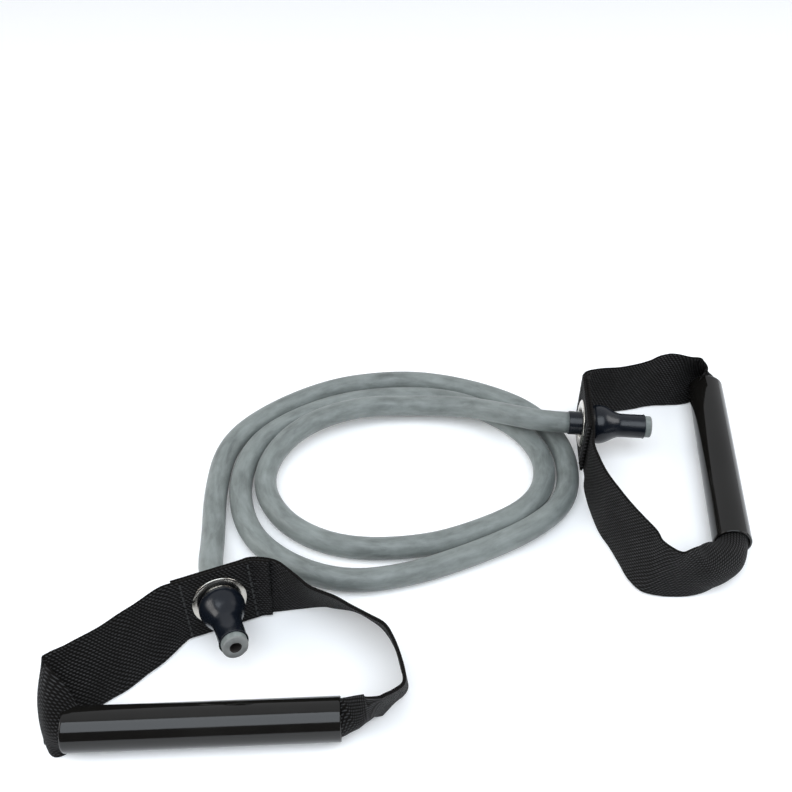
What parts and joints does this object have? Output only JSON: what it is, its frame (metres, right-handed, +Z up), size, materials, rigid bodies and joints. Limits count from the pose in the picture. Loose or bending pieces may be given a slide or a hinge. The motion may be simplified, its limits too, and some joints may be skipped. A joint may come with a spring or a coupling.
{
  "type": "resistance band",
  "caption": "Rubber exercise tube lying in loose turns, each end held by a bulge in an eyelet of a webbing loop with a hollow hand grip.",
  "frame": {"origin": "on the surface it lies on, under the middle of the box round everything but the free tube", "axes": "+Z up; +X along the longer side of the lay, from the front grip's end towards the right grip; +Y away from the front grip"},
  "size_m": [0.3841, 0.2695, 0.0431],
  "materials": {
    "tube": "matt grey-green latex with a dusty bloom",
    "plug": "moulded",
    "sleeve": "glossy",
    "eyelet_metal": "bright nickel plate",
    "webbing": "woven twill webbing",
    "thread": "sewing thread",
    "grip": "glossy"
  },
  "bodies": {
    "tube": {"latex_tube": "tube", "tube_end_front": "tube", "stopper_front": "plug", "sleeve_front": "sleeve", "tube_end_right": "tube", "stopper_right": "plug", "sleeve_right": "sleeve"},
    "loop_front": {"strap_front": "webbing", "eyelet_front": "eyelet_metal", "washer_front": "eyelet_metal", "stitching_front": "thread"},
    "handgrip_front": {"grip_front": "grip"},
    "loop_right": {"strap_right": "webbing", "eyelet_right": "eyelet_metal", "washer_right": "eyelet_metal", "stitching_right": "thread"},
    "handgrip_right": {"grip_right": "grip"}
  },
  "joints": [
    {"name": "swivel_front", "type": "hinge", "parent": "tube", "child": "loop_front", "pos_m": [-0.1129, -0.0565, 0.0196], "axis": [0.3556, -0.9028, 0.2419], "continuous": true},
    {"name": "grip_spin_front", "type": "hinge", "parent": "loop_front", "child": "handgrip_front", "pos_m": [-0.1784, -0.123, 0.01065], "axis": [0.999, 0.0436, 0], "continuous": true},
    {"name": "swivel_right", "type": "hinge", "parent": "tube", "child": "loop_right", "pos_m": [0.0956, 0.0709, 0.024], "axis": [0.998, -0.061, -0.0175], "continuous": true},
    {"name": "grip_spin_right", "type": "hinge", "parent": "loop_right", "child": "handgrip_right", "pos_m": [0.1654, -0.0111, 0.01065], "axis": [0.1149, 0.9934, 0], "continuous": true}
  ]
}
